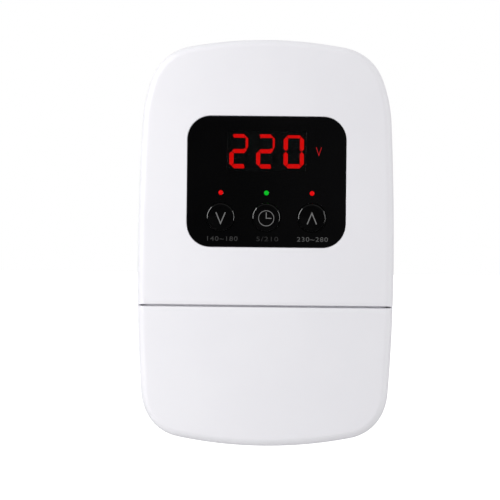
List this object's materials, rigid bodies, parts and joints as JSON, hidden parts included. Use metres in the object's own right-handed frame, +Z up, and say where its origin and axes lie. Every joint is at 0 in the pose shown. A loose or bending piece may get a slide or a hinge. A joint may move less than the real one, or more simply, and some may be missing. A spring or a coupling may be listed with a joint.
{
  "type": "appliance voltage protector",
  "caption": "Wall-mounted voltage protector: bowed white case, gloss black panel with display, lamps and push buttons, and a slide-off terminal cover.",
  "frame": {"origin": "centre of the flat back face that lies on the wall", "axes": "+X to the right seen from the front, +Y into the wall, +Z up; the front faces -Y"},
  "size_m": [0.102, 0.0465, 0.161],
  "materials": {
    "white_plastic": "satin moulded ABS",
    "zinc_steel": "zinc plated",
    "switch_case": "stamped switch case",
    "panel_black": "high gloss",
    "smoked_window": "smoked, high gloss",
    "module_black": "matt",
    "segment_red": "diffusing resin",
    "lamp_red": "tinted resin",
    "lamp_green": "tinted resin",
    "button_black": "gloss",
    "plunger_black": "matt",
    "board_green": "solder mask",
    "chip_black": "matt",
    "ribbon_grey": "satin",
    "socket_white": "matt",
    "relay_blue": "gloss",
    "capacitor_yellow": "gloss",
    "capacitor_sleeve": "gloss sleeve",
    "varistor_blue": "dipped epoxy",
    "fuse_glass": "clear",
    "copper": "bare copper strip",
    "block_black": "matt",
    "grommet_rubber": "matt"
  },
  "bodies": {
    "case": {"back_base": "white_plastic", "upper_housing": "white_plastic", "housing_screws": "zinc_steel", "control_panel": "panel_black", "display_window": "smoked_window", "display_module": "module_black", "display_segments": "segment_red", "low_voltage_lamp": "lamp_red", "delay_lamp": "lamp_green", "high_voltage_lamp": "lamp_red", "push_switches": "switch_case", "display_board": "board_green", "display_screws": "zinc_steel", "controller_chip": "chip_black", "main_board": "board_green", "board_screws": "zinc_steel", "ribbon_cable": "ribbon_grey", "ribbon_sockets": "socket_white", "power_relay": "relay_blue", "dropper_capacitor": "capacitor_yellow", "smoothing_capacitor": "capacitor_sleeve", "surge_varistor": "varistor_blue", "glass_fuse": "fuse_glass", "fuse_clips": "zinc_steel", "live_in_bar": "copper", "live_out_bar": "copper", "neutral_bar": "copper", "terminal_block": "block_black", "terminal_screws": "zinc_steel", "terminal_washers": "zinc_steel", "block_screws": "zinc_steel", "cable_clamps": "white_plastic", "clamp_screws": "zinc_steel", "supply_grommet": "grommet_rubber", "load_grommet": "grommet_rubber"},
    "cover": {"terminal_cover": "white_plastic", "cover_screw": "zinc_steel"},
    "down_key": {"down_button": "button_black", "down_plunger": "plunger_black"},
    "timer_key": {"timer_button": "button_black", "timer_plunger": "plunger_black"},
    "up_key": {"up_button": "button_black", "up_plunger": "plunger_black"}
  },
  "joints": [
    {"name": "cover_slide", "type": "slide", "parent": "case", "child": "cover", "axis": [0, 0, -1], "range_m": [0, 0.062]},
    {"name": "down_press", "type": "slide", "parent": "case", "child": "down_key", "axis": [0, 1, 0], "range_m": [0, 0.0004], "stiffness_N_per_m": 3000},
    {"name": "timer_press", "type": "slide", "parent": "case", "child": "timer_key", "axis": [0, 1, 0], "range_m": [0, 0.0004], "stiffness_N_per_m": 3000},
    {"name": "up_press", "type": "slide", "parent": "case", "child": "up_key", "axis": [0, 1, 0], "range_m": [0, 0.0004], "stiffness_N_per_m": 3000}
  ]
}
